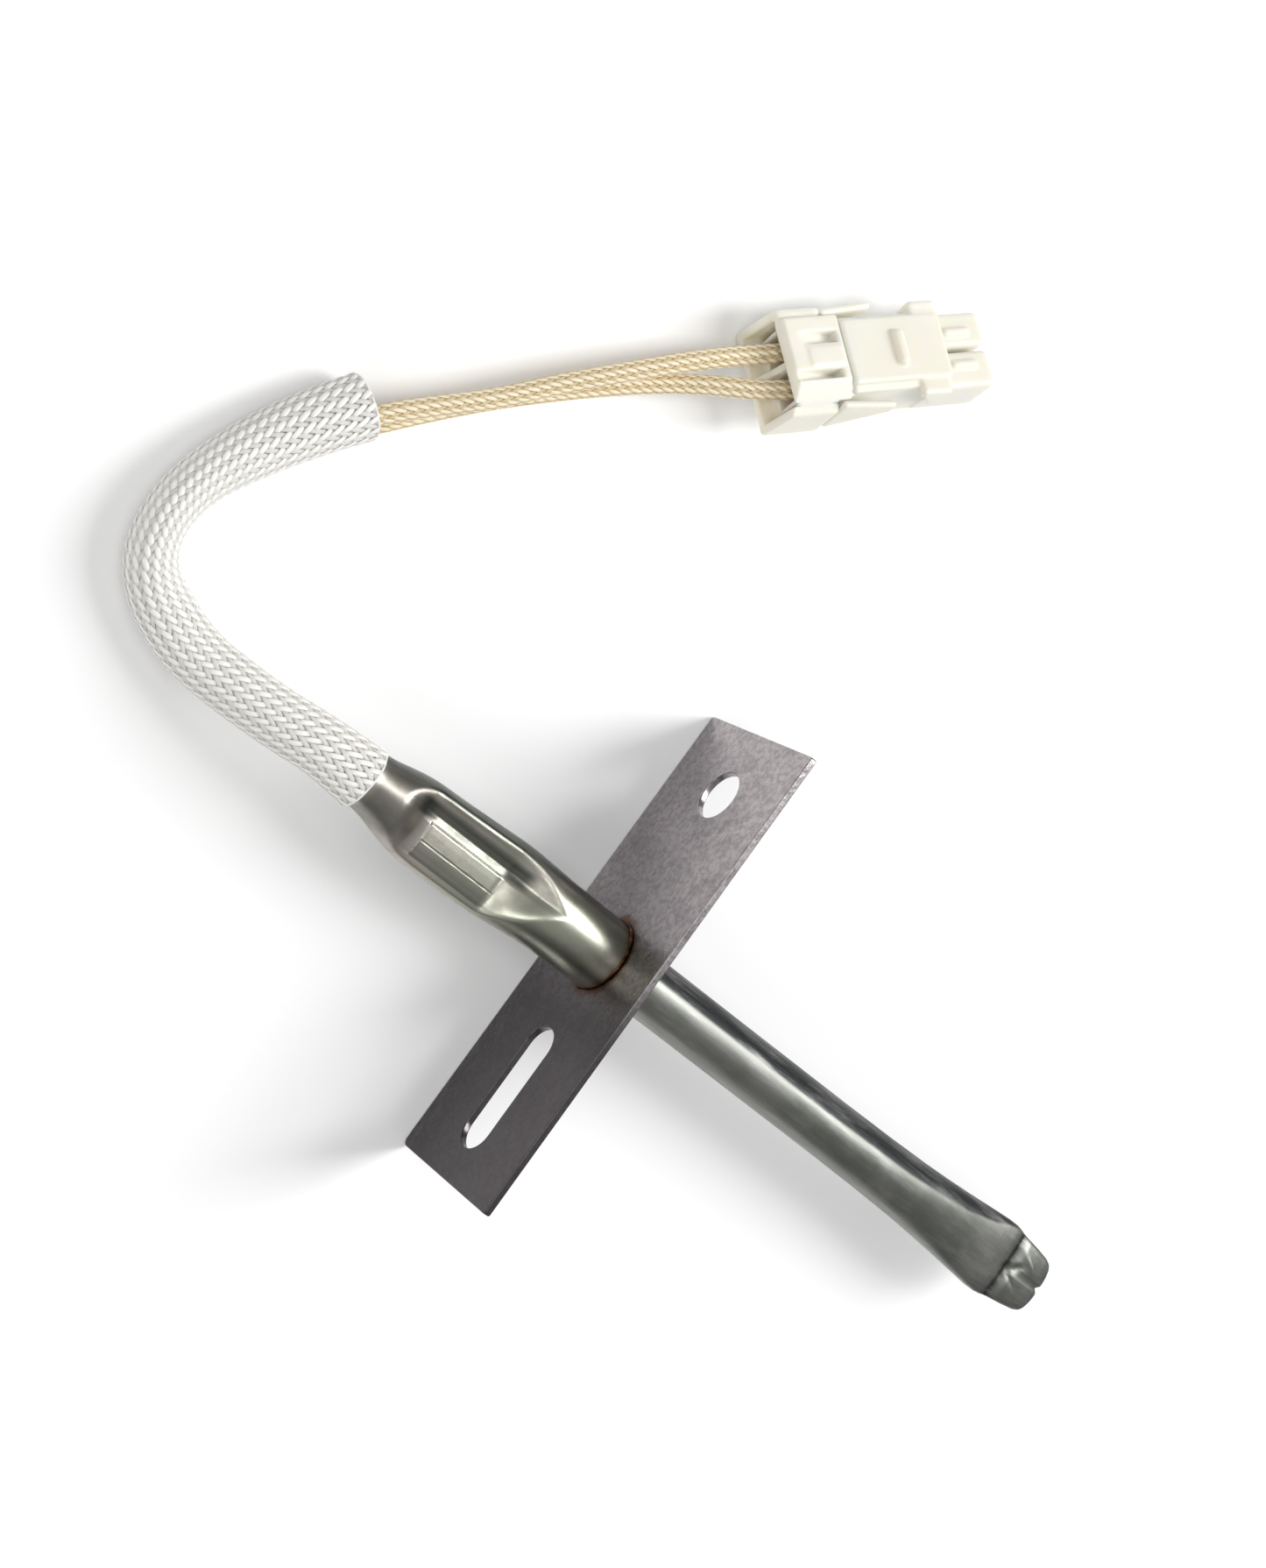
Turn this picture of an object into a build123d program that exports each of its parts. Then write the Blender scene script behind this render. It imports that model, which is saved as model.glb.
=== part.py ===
"""Oven temperature sensor: a resistance probe on a welded bracket, with a sleeved two-lead tail and plug.

Frame: the origin is where the probe's axis crosses the front face of the bracket. +X runs along the
probe towards its tip, +Y along the bracket towards its round hole and +Z up across the bracket. The
sensor lies on a flat surface: the bracket's lower long edge stands on it, and so do the sleeve's
bend and one long edge of the plug. Millimetres.
"""

import math
import os

from build123d import *

os.makedirs("parts", exist_ok=True)

# Probe sheath: quarter-inch tube, flattened like a fishtail and pinched shut at the tip
probe_r = 6.35 / 2
probe_wall = 0.5
probe_rear_x = -9.0
taper_x = 40.0
tip_x = 71.6
# station along X, outside width, outside height
tip_sections = [(48, 6.9, 5.9), (56, 7.9, 4.2), (63, 8.9, 2.5), (65.8, 8.5, 1.5), (68, 7.9, 1.7), (tip_x, 6.4, 1.4)]
cavity_sections = 2
cavity_end = (61.5, 6.6, 0.9)

# Mounting bracket
plate_length = 53.6
plate_width = 19.6
plate_thickness = 0.8
lower_corner_r = 0.8
upper_corner_r = 0.25
probe_hole_r = probe_r + 0.05
screw_hole_r = 5.3 / 2
screw_hole_y = 19.5
slot_length = 14.2
slot_width = 4.6
slot_y = -16.0

# Crimp ferrule: five-sixteenths-inch tube over the probe's rear end, welded to the bracket
ferrule_r = 7.94 / 2
ferrule_wall = 0.65
mouth_r = 5.9 / 2
mouth_shift = -0.6
crimp_half_width = 4.4
crimp_half_height = 3.5
pocket_depth = 1.2
pocket_spread = 2.2
pocket_turn = 14
outline_points = 24
# station along X, share of the crimp's flattening, share of the pocket's depth, share of the mouth's taper
ferrule_stations = [
    (-plate_thickness, 0, 0, 0),
    (-5, 0, 0, 0),
    (-9, 0, 0, 0),
    (-12, 0.6, 0.15, 0),
    (-15, 1, 0.9, 0),
    (-19, 1, 1, 0),
    (-23, 1, 0.9, 0),
    (-26.5, 0.7, 0.2, 0.1),
    (-29, 0.1, 0, 0.75),
    (-31, 0, 0, 1),
    (-34.6, 0, 0, 1),
]
weld_leg = 0.45
weld_gap = 0.03

# Sensing element, its insulator and the splices to the leads
chip_length = 5.0
chip_width = 2.4
chip_thickness = 1.1
chip_x = 55.0
filler_x = (47.5, 60.0)
filler_ends = [(5.6, 4.4), (6.6, 1.4)]
wire_r = 0.15
wire_bore_r = 0.25
wire_pitch = 1.3
wire_rear_x = -4.8
wire_fan_x = (1.5, 5.5)
wire_bend_r = 2.0
insulator_r = 2.35
insulator_x = (6.5, 44.5)
lead_pitch = 2.4
splice_r = 0.85
splice_bore_r = 0.53
splice_x = (-8.0, -2.0)
cover_r = 1.18
cover_bore_r = 0.9
cover_x = (-11.0, 1.0)

# Leads and sleeve
core_r = 0.5
core_rear_x = -5.2
braid_r = 2.05 / 2
braid_bore_r = 0.53
braid_rear_x = -11.5
sleeve_r = 6.6 / 2
sleeve_bore_r = 6.2 / 2

# Plug: its rear face's centre, the way it points and its roll about that line
plug_centre = (-21.5, 55.6, -4.65)
plug_azimuth = math.radians(42.8)
plug_roll = math.radians(28.0)
plug_pitch = 3.96
body_length = 17.0
body_width = 7.8
body_height = 6.0
nose_length = 6.5
nose_gap = 0.5
nose_height = 5.0
hood_length = 5.0
hood_rear = -1.2
hood_width = 10.6
hood_wall = 0.8
rib_x = 19.2
rib_length = 2.6
rib_width = 1.1
rib_height = 0.35
window_x = 3.2
window_length = 2.8
window_width = 1.1
cavity_side = 3.1
cavity_end_wall = 1.0
mating_hole = (1.9, 1.4)

# Lock arms at the plug's sides, each turning about a round root knuckle
arm_x = 5.7
arm_length = 5.6
arm_thickness = 0.8
arm_height = 4.0
arm_centre_z = -0.5
arm_flare = 6.0
knuckle_r = 0.4

# Terminal lock: a saddle pressed down over the body
lock_x = (6.8, 18.2)
lock_thickness = 0.8
lock_gap = 0.1
skirt_thickness = 0.4
skirt_drop = 1.3
ear_x = 15.5
ear_length = 3.0
ear_reach = 0.5
ear_drop = 3.2
grip_x = 12.4
grip_length = 1.0
grip_width = 4.0
grip_height = 0.5

# Terminals
contact_side = 2.4
contact_bore = 1.7
web_width = 0.8
web_base = 1.4
contact_x = (11.0, 20.0)
barrel_r = 0.95
barrel_x = (6.6, 11.0)
strap_r = 1.4
strap_x = (3.4, 5.6)
crimp_gap = 0.03
lead_in = 0.6
braid_end = 6.1
core_end = 10.0


def across(x, turn=0, shift=0):
    """A plane across the probe at x and shift along Y, its own x turned up from +Y by turn degrees."""
    tilt = math.radians(turn)
    return Plane(origin=(x, shift, 0), x_dir=(0, math.cos(tilt), math.sin(tilt)), z_dir=(1, 0, 0))


def save(piece, name):
    """Label a finished piece and write it as its own STEP file."""
    piece.part.label = name
    export_step(piece.part, f"parts/{name}.step")


def bend_radii(points):
    """The largest arc at each corner that leaves both of its runs a little straight."""
    corners = [Vector(*point) for point in points]
    radii = []
    for before, corner, after in zip(corners, corners[1:], corners[2:]):
        shorter = min((corner - before).length, (after - corner).length)
        half_turn = math.radians((corner - before).get_angle(after - corner)) / 2
        radii.append(0.45 * shorter / math.tan(half_turn))
    return radii


# ---- Probe sheath ----
with BuildPart() as probe_sheath:
    with BuildSketch(across(probe_rear_x)):
        Circle(probe_r)
    extrude(amount=taper_x - probe_rear_x)
    with BuildSketch(across(taper_x)):
        Circle(probe_r)
    for x, width, height in tip_sections:
        with BuildSketch(across(x)):
            Ellipse(width / 2, height / 2)
    loft(ruled=True)
    with BuildSketch(across(probe_rear_x)):
        Circle(probe_r - probe_wall)
    extrude(amount=taper_x - probe_rear_x, mode=Mode.SUBTRACT)
    with BuildSketch(across(taper_x)):
        Circle(probe_r - probe_wall)
    for x, width, height in tip_sections[:cavity_sections]:
        with BuildSketch(across(x)):
            Ellipse(width / 2 - probe_wall, height / 2 - probe_wall)
    with BuildSketch(across(cavity_end[0])):
        Ellipse(cavity_end[1] / 2, cavity_end[2] / 2)
    loft(ruled=True, mode=Mode.SUBTRACT)
save(probe_sheath, "probe_sheath")

# ---- Mounting bracket ----
with BuildPart() as mounting_bracket:
    with BuildSketch(across(-plate_thickness)) as plate_face:
        Rectangle(plate_length, plate_width)
        fillet(plate_face.vertices().group_by(Axis.Y)[0], lower_corner_r)
        fillet(plate_face.vertices().group_by(Axis.Y)[-1], upper_corner_r)
        Circle(probe_hole_r, mode=Mode.SUBTRACT)
        with Locations((screw_hole_y, 0)):
            Circle(screw_hole_r, mode=Mode.SUBTRACT)
        with Locations((slot_y, 0)):
            SlotOverall(slot_length, slot_width, mode=Mode.SUBTRACT)
    extrude(amount=plate_thickness)
save(mounting_bracket, "mounting_bracket")


# ---- Crimp ferrule ----
def ferrule_outline(flattening, pocket, taper, inset):
    """Points round the ferrule: an oval with a hollow pressed into the side that the punch met."""
    radius = ferrule_r + (mouth_r - ferrule_r) * taper
    half_width = radius + (crimp_half_width - ferrule_r) * flattening - inset
    half_height = radius + (crimp_half_height - ferrule_r) * flattening - inset
    points = []
    for step in range(outline_points):
        turn = 2 * math.pi * step / outline_points
        wide = half_width * math.cos(turn)
        high = half_height * math.sin(turn)
        if high > 0:
            high -= pocket_depth * pocket * math.exp(-((wide / pocket_spread) ** 4)) * math.sin(turn)
        points.append((wide, high))
    return points


with BuildPart() as crimp_ferrule:
    for inset, mode in ((0, Mode.ADD), (ferrule_wall, Mode.SUBTRACT)):
        for x, flattening, pocket, taper in ferrule_stations:
            with BuildSketch(across(x, pocket_turn, mouth_shift * taper)):
                with BuildLine():
                    Spline(*ferrule_outline(flattening, pocket, taper, inset), periodic=True)
                make_face()
        loft(ruled=True, mode=mode)
save(crimp_ferrule, "crimp_ferrule")

with BuildPart() as weld_bead:
    with BuildSketch(Plane.XZ):
        with BuildLine():
            inner = ferrule_r + weld_gap
            Polyline(
                (-plate_thickness, inner),
                (-plate_thickness, inner + weld_leg),
                (-plate_thickness - weld_leg, inner),
                close=True,
            )
        make_face()
    revolve(axis=Axis.X)
save(weld_bead, "weld_bead")

# ---- Sensing element at the tip ----
with BuildPart() as rtd_chip:
    with Locations((chip_x, 0, 0)):
        Box(chip_length, chip_width, chip_thickness)
save(rtd_chip, "rtd_chip")

chip_rear_x = chip_x - chip_length / 2
with BuildPart() as element_wires:
    for side in (1, -1):
        with BuildLine() as wire_path:
            FilletPolyline(
                (wire_rear_x, side * lead_pitch / 2, 0),
                (wire_fan_x[0], side * lead_pitch / 2, 0),
                (wire_fan_x[1], side * wire_pitch / 2, 0),
                (chip_rear_x, side * wire_pitch / 2, 0),
                radius=wire_bend_r,
            )
        with BuildSketch(across(wire_rear_x)):
            with Locations((side * lead_pitch / 2, 0)):
                Circle(wire_r)
        sweep(path=wire_path.line)
save(element_wires, "element_wires")

with BuildPart() as ceramic_insulator:
    with BuildSketch(across(insulator_x[0])):
        Circle(insulator_r)
        with Locations((wire_pitch / 2, 0), (-wire_pitch / 2, 0)):
            Circle(wire_bore_r, mode=Mode.SUBTRACT)
    extrude(amount=insulator_x[1] - insulator_x[0])
save(ceramic_insulator, "ceramic_insulator")

with BuildPart() as tip_filler:
    for x, (width, height) in zip(filler_x, filler_ends):
        with BuildSketch(across(x)):
            Ellipse(width / 2, height / 2)
    loft()
    with Locations((chip_x, 0, 0)):
        Box(chip_length, chip_width, chip_thickness, mode=Mode.SUBTRACT)
    with BuildSketch(across(filler_x[0])):
        with Locations((wire_pitch / 2, 0), (-wire_pitch / 2, 0)):
            Circle(wire_bore_r)
    extrude(amount=chip_rear_x - filler_x[0], mode=Mode.SUBTRACT)
save(tip_filler, "tip_filler")


# ---- Splices between the element's wires and the leads ----
def lead_tubes(outer_r, bore_r, span):
    """A pair of short straight tubes, one on each lead, over a span of X."""
    with BuildPart() as tubes:
        with BuildSketch(across(span[0])):
            with Locations((lead_pitch / 2, 0), (-lead_pitch / 2, 0)):
                Circle(outer_r)
                Circle(bore_r, mode=Mode.SUBTRACT)
        extrude(amount=span[1] - span[0])
    return tubes


save(lead_tubes(splice_r, splice_bore_r, splice_x), "splice_crimps")
save(lead_tubes(cover_r, cover_bore_r, cover_x), "splice_covers")

# ---- Routes of the sleeve and the leads ----
plug_forward = Vector(math.cos(plug_azimuth), math.sin(plug_azimuth), 0)
plug_up = Vector(
    -math.sin(plug_azimuth) * math.sin(plug_roll),
    math.cos(plug_azimuth) * math.sin(plug_roll),
    math.cos(plug_roll),
)
plug = Plane(origin=plug_centre, x_dir=plug_forward, z_dir=plug_up)

# The sleeve starts over the ferrule's mouth, drops to the surface and turns back towards the plug
sleeve_route = [
    (-33.1, -0.7, 0),
    (-37.4, -0.5, -0.5),
    (-42, -1, -2.1),
    (-46.8, -1.1, -3.9),
    (-51.6, -0.9, -6),
    (-56.2, 0.8, -6.6),
    (-59.7, 3, -6.5),
    (-61.2, 6.6, -6.5),
    (-61, 11, -6.5),
    (-59.4, 15.2, -6.5),
    (-57.3, 19.3, -6.5),
    (-55, 23.1, -6.4),
    (-52.5, 26.6, -6.5),
]
# The far lead starts on the -Y side of the ferrule, lies on the near lead from the sleeve's bend on
# and parts from it at the plug
far_route = [
    (-16.5, -1.2, 0),
    (-24, -1.4, 0),
    (-31.5, -1.8, 0),
    (-37.3, -1.7, -0.5),
    (-42.8, -2.1, -2.1),
    (-48.4, -2.1, -4),
    (-53.7, -1.3, -5.9),
    (-59.4, 1.7, -6.2),
    (-62, 6.2, -6.6),
    (-60.6, 12.7, -6.2),
    (-57.8, 17.4, -5.2),
    (-54.7, 22.4, -4.6),
    (-51.2, 27.1, -4.6),
    (-47.2, 31.2, -4.9),
    (-43, 35.3, -5),
    (-39.3, 39.8, -5.1),
    (-35.5, 44.1, -4.9),
    (-31.6, 48.3, -5),
    (-27.5, 52.6, -5.2),
]
near_route = [
    (-16.5, 1.2, 0),
    (-24, 1, 0),
    (-31.5, 0.6, 0),
    (-37.1, 0.6, -0.7),
    (-42.5, 0.1, -2.6),
    (-47.8, -0.1, -4.8),
    (-52.6, 0.1, -7.1),
    (-58.8, 2.8, -7.9),
    (-60.9, 7.2, -8.4),
    (-59.1, 13.4, -7.9),
    (-56.1, 17.9, -7),
    (-53.1, 22.8, -6.7),
    (-49.6, 27.2, -6.8),
    (-45.9, 31.5, -7.1),
    (-42.1, 35.7, -7.2),
    (-38.1, 39.8, -6.9),
    (-33.9, 43.8, -6.9),
    (-29.5, 47.7, -6.6),
    (-25.4, 50.9, -4.8),
]


def swept_tube(route, radii, outer_r, bore_r, name):
    """A tube along straight runs joined by tangent arcs; a bore of nothing makes it solid."""
    with BuildPart() as tube:
        with BuildLine():
            path = FilletPolyline(*route, radius=radii)
        with BuildSketch(path ^ 0):
            Circle(outer_r)
            if bore_r:
                Circle(bore_r, mode=Mode.SUBTRACT)
        sweep(path=path)
    section = math.pi * (outer_r**2 - bore_r**2)
    shares = f"volume {tube.part.volume:.2f}, section x length {section * path.length:.2f}"
    print(name, f"length {path.length:.1f}, radii", [round(radius, 1) for radius in radii], shares)
    save(tube, name)


swept_tube(sleeve_route, bend_radii(sleeve_route), sleeve_r, sleeve_bore_r, "outer_sleeve")
for letter, side, route in (("a", -1, far_route), ("b", 1, near_route)):
    rear_y = side * lead_pitch / 2
    entry_y = -side * plug_pitch / 2
    approach, braid_tip, core_tip = (
        tuple(plug.from_local_coords(Vector(along, entry_y, 0))) for along in (-lead_in, braid_end, core_end)
    )
    braid_route = [(braid_rear_x, rear_y, 0), *route, approach, braid_tip]
    core_route = [(core_rear_x, rear_y, 0), *route, approach, core_tip]
    radii = bend_radii(braid_route)
    swept_tube(braid_route, radii, braid_r, braid_bore_r, f"lead_braid_{letter}")
    swept_tube(core_route, radii, core_r, 0, f"lead_core_{letter}")

# ---- Plug ----
pitch_sides = (plug_pitch / 2, -plug_pitch / 2)
front_x = body_length + nose_length
low = Align.MIN
mid = Align.CENTER
with BuildPart(plug) as connector_housing:
    Box(body_length, body_width, body_height, align=(low, mid, mid))
    nose_width = (body_width - nose_gap) / 2
    for side in (1, -1):
        with Locations((body_length, side * (nose_gap + nose_width) / 2, 0)):
            Box(nose_length, nose_width, nose_height, align=(low, mid, mid))
        with Locations((rib_x, side * plug_pitch / 2, nose_height / 2)):
            Box(rib_length, rib_width, rib_height, align=(low, mid, low))
    for side in (1, -1):
        hood_y = side * (hood_width - hood_wall) / 2
        with Locations((hood_rear, hood_y, 0)):
            Box(hood_length - hood_rear, hood_wall, body_height, align=(low, mid, mid))
    for z in (body_height / 2 - hood_wall / 2, -body_height / 2 + hood_wall / 2):
        with Locations((hood_rear, 0, z)):
            Box(hood_length - hood_rear, hood_width, hood_wall, align=(low, mid, mid))
    with Locations(*[(0, y, 0) for y in pitch_sides]):
        Box(front_x - cavity_end_wall, cavity_side, cavity_side, align=(low, mid, mid), mode=Mode.SUBTRACT)
        Box(front_x, *mating_hole, align=(low, mid, mid), mode=Mode.SUBTRACT)
    with Locations(*[(window_x, y, body_height / 2) for y in pitch_sides]):
        Box(window_length, window_width, body_height / 2, align=(low, mid, mid), mode=Mode.SUBTRACT)
save(connector_housing, "connector_housing")

with BuildPart(plug) as terminal_lock:
    lock_length = lock_x[1] - lock_x[0]
    half_body = body_width / 2 + lock_gap
    lock_top = body_height / 2 + lock_gap
    with Locations((lock_x[0], 0, lock_top)):
        Box(lock_length, 2 * (half_body + skirt_thickness), lock_thickness, align=(low, mid, low))
    for side in (1, -1):
        with Locations((lock_x[0], side * (half_body + skirt_thickness / 2), lock_top)):
            Box(lock_length, skirt_thickness, skirt_drop, align=(low, mid, Align.MAX))
        with Locations((ear_x, side * (half_body + (skirt_thickness + ear_reach) / 2), lock_top)):
            Box(ear_length, skirt_thickness + ear_reach, ear_drop, align=(mid, mid, Align.MAX))
    with Locations((grip_x, 0, lock_top + lock_thickness)):
        Box(grip_length, grip_width, grip_height, align=(mid, mid, low))
save(terminal_lock, "terminal_lock")

for name, side in (("lock_arm_far", 1), ("lock_arm_near", -1)):
    with BuildPart(plug) as lock_arm:
        arm_y = side * (hood_width - arm_thickness) / 2
        with Locations(Location((arm_x, arm_y, arm_centre_z), (0, 0, side * arm_flare))):
            Box(arm_length, arm_thickness, arm_height, align=(low, mid, mid))
            Cylinder(knuckle_r, arm_height)
    save(lock_arm, name)

for letter, side in (("a", 1), ("b", -1)):
    with BuildPart(plug) as terminal:
        entry_y = side * plug_pitch / 2
        contact_length = contact_x[1] - contact_x[0]
        with Locations((contact_x[0], entry_y, 0)):
            Box(contact_length, contact_side, contact_side, align=(low, mid, mid))
            Box(contact_length, contact_bore, contact_bore, align=(low, mid, mid), mode=Mode.SUBTRACT)
        with Locations((strap_x[0], entry_y, -web_base)):
            Box(contact_x[0] - strap_x[0], web_width, web_base - core_r, align=(low, mid, low))
        for (start, end), outer_r, bore_r in (
            (barrel_x, barrel_r, core_r + crimp_gap),
            (strap_x, strap_r, braid_r + crimp_gap),
        ):
            with Locations((start, entry_y, 0)):
                Cylinder(outer_r, end - start, rotation=(0, 90, 0), align=(mid, mid, low))
        for start, end, bore_r in ((strap_x[0], barrel_x[0], braid_r), (barrel_x[0], barrel_x[1], core_r)):
            with Locations((start, entry_y, 0)):
                Cylinder(
                    bore_r + crimp_gap,
                    end - start,
                    rotation=(0, 90, 0),
                    align=(mid, mid, low),
                    mode=Mode.SUBTRACT,
                )
    save(terminal, f"terminal_{letter}")
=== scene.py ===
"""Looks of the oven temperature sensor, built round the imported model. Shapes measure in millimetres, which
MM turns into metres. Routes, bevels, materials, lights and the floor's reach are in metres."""

import math

import bmesh
import bpy
import numpy as np
from mathutils import Matrix, Vector


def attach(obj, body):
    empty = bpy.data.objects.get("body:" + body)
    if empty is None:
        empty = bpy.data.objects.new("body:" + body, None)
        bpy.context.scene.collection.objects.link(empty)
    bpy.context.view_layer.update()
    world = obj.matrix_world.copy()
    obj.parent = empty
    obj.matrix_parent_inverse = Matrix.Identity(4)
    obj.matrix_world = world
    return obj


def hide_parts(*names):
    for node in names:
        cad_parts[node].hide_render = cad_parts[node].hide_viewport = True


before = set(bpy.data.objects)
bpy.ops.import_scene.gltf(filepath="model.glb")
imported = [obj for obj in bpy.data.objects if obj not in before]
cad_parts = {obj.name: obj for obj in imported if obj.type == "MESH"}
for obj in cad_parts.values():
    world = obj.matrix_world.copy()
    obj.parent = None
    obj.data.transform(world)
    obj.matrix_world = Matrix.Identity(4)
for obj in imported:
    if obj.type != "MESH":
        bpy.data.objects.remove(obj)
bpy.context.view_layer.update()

MM = 0.001
TAU = 2 * math.pi
FLOOR_Z = -9.86


def linked(name, data):
    """A new object in the scene."""
    made = bpy.data.objects.new(name, data)
    bpy.context.scene.collection.objects.link(made)
    return made


# ---- Camera ----
CAMERA_PLACE = (-138.4, -12.5, 219.5)
CAMERA_RIGHT = (0.6649, 0.5857, 0.4636)
CAMERA_DOWN = (0.5517, -0.8035, 0.2238)
CAMERA_LENS = 60.37
CAMERA_SENSOR = 36.0
CAMERA_NEAR = 0.01


def add_camera():
    data = bpy.data.cameras.new("camera")
    data.lens = CAMERA_LENS
    data.sensor_width = CAMERA_SENSOR
    data.clip_start = CAMERA_NEAR
    right = Vector(CAMERA_RIGHT).normalized()
    up = -Vector(CAMERA_DOWN)
    up = (up - right * up.dot(right)).normalized()
    turn = Matrix((right, up, right.cross(up))).transposed().to_4x4()
    camera = linked("camera", data)
    camera.matrix_world = Matrix.Translation(Vector(CAMERA_PLACE) * MM) @ turn
    bpy.context.scene.camera = camera


add_camera()


# ---- Materials ----
def rgba(colour):
    """A colour's socket as it is, or its three values with an alpha."""
    return colour if isinstance(colour, bpy.types.NodeSocket) else (*colour, 1.0)


def shaded(colour, share):
    return tuple(share * c for c in colour)


def set_inputs(node, values):
    for name, value in values.items():
        node.inputs[name].default_value = value


class Nodes:
    """A material's node tree, with short calls for the nodes that these materials use."""

    def __init__(self, name, **values):
        self.material = bpy.data.materials.new(name)
        self.material.use_nodes = True
        self.tree = self.material.node_tree
        self.shader = self.tree.nodes["Principled BSDF"]
        self.place = self.add("ShaderNodeTexCoord").outputs["Object"]
        set_inputs(self.shader, values)

    def add(self, kind, **settings):
        node = self.tree.nodes.new(kind)
        for key, value in settings.items():
            setattr(node, key, value)
        return node

    def link(self, source, target):
        self.tree.links.new(source, target)

    def set(self, socket, value):
        """Links a socket or sets a plain value."""
        if isinstance(value, bpy.types.NodeSocket):
            self.link(value, socket)
        else:
            socket.default_value = value

    def scaled(self, scale):
        node = self.add("ShaderNodeMapping")
        self.link(self.place, node.inputs["Vector"])
        set_inputs(node, {"Scale": scale})
        return node.outputs["Vector"]

    def noise(self, scale, detail=3.0, rough=0.55, vector=None):
        node = self.add("ShaderNodeTexNoise")
        self.link(vector or self.place, node.inputs["Vector"])
        set_inputs(node, {"Scale": scale, "Detail": detail, "Roughness": rough})
        return node.outputs["Fac"]

    def math(self, operation, first, second=0.0):
        node = self.add("ShaderNodeMath", operation=operation)
        self.set(node.inputs[0], first)
        self.set(node.inputs[1], second)
        return node.outputs[0]

    def ramp(self, value, low, high, first=0.0, last=1.0):
        """Goes smoothly from first to last while a value goes from low to high."""
        node = self.add("ShaderNodeMapRange", interpolation_type="SMOOTHSTEP")
        self.set(node.inputs["Value"], value)
        set_inputs(node, {"From Min": low, "From Max": high, "To Min": first, "To Max": last})
        return node.outputs["Result"]

    def mix(self, share, first, second):
        node = self.add("ShaderNodeMix", data_type="RGBA")
        self.set(node.inputs["Factor"], share)
        self.set(node.inputs["A"], rgba(first))
        self.set(node.inputs["B"], rgba(second))
        return node.outputs["Result"]

    def axis(self, name):
        node = self.add("ShaderNodeSeparateXYZ")
        self.link(self.place, node.inputs[0])
        return node.outputs[name]

    def tone(self):
        """The painted shade stored in the mesh's tone attribute, from 0 where it is painted darkest to 1."""
        return self.add("ShaderNodeAttribute", attribute_name="tone").outputs["Fac"]

    def bump(self, height, strength, distance):
        node = self.add("ShaderNodeBump")
        self.link(height, node.inputs["Height"])
        set_inputs(node, {"Strength": strength, "Distance": distance})
        return node.outputs["Normal"]

    def subsurface(self, weight, radius, scale):
        values = {"Subsurface Weight": weight, "Subsurface Radius": radius, "Subsurface Scale": scale}
        set_inputs(self.shader, values)

    def finish(self, colour, rough, normal=None):
        self.set(self.shader.inputs["Base Color"], rgba(colour))
        if normal:
            self.link(normal, self.shader.inputs["Normal"])
        self.set(self.shader.inputs["Roughness"], rough)
        return self.material


def heat_tint(n, colour):
    """Browns a colour near the weld, in an uneven ring about the probe's axis."""
    ring_r, ring_reach, unevenness = 0.0040, 0.0010, 0.0022
    squares = [n.math("POWER", n.axis(name), 2.0) for name in "YZ"]
    radius = n.math("POWER", n.math("ADD", *squares), 0.5)
    wobble = n.math("MULTIPLY", n.math("SUBTRACT", n.noise(700.0, 4.0), 0.5), unevenness)
    away = n.math("ABSOLUTE", n.math("SUBTRACT", n.math("ADD", radius, wobble), ring_r))
    return n.mix(n.ramp(away, 0.0, ring_reach, 0.9, 0.0), colour, (0.13, 0.075, 0.045))


def steel_tube():
    """Dark drawn tube with fine streaks along it."""
    n = Nodes("steel_tube", Metallic=1.0)
    streaks = n.noise(900.0, 5.0, 0.7, n.scaled((0.12, 1.0, 1.0)))
    mottle = n.noise(140.0, 4.0)
    light = n.mix(n.ramp(mottle, 0.35, 0.65), (0.185, 0.195, 0.175), (0.24, 0.245, 0.225))
    # painted shade and painted reflection: the tone attribute darkens the tube beyond the fold, underneath
    # and in the pinch
    colour = n.mix(n.tone(), (0.035, 0.037, 0.038), light)
    colour = n.mix(n.ramp(streaks, 0.42, 0.75, 0.0, 0.35), colour, (0.50, 0.50, 0.47))
    normal = n.bump(streaks, 0.25, 0.00004)
    return n.finish(colour, n.ramp(mottle, 0.3, 0.7, 0.36, 0.46), normal)


def steel_ferrule():
    """Greenish and mauve crimped tube that browns towards the weld."""
    n = Nodes("steel_ferrule", Metallic=1.0)
    mottle = n.noise(330.0, 5.0, 0.65)
    wide = n.noise(90.0, 3.0)
    light = n.mix(n.ramp(wide, 0.4, 0.62), (0.43, 0.44, 0.36), (0.50, 0.46, 0.41))
    light = n.mix(n.ramp(mottle, 0.45, 0.7, 0.0, 0.4), light, (0.25, 0.23, 0.215))
    # painted shade and painted reflection: the tone attribute darkens the +Y side, the underside, the
    # hollow's +Y wall and rims and the inner skin
    colour = n.mix(n.tone(), (0.06, 0.07, 0.06), light)
    near_weld = n.ramp(n.axis("X"), -0.0022, -0.0008, 0.0, 0.45)
    colour = n.mix(near_weld, colour, (0.17, 0.085, 0.035))
    normal = n.bump(mottle, 0.18, 0.00006)
    return n.finish(colour, n.ramp(mottle, 0.3, 0.7, 0.27, 0.38), normal)


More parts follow.
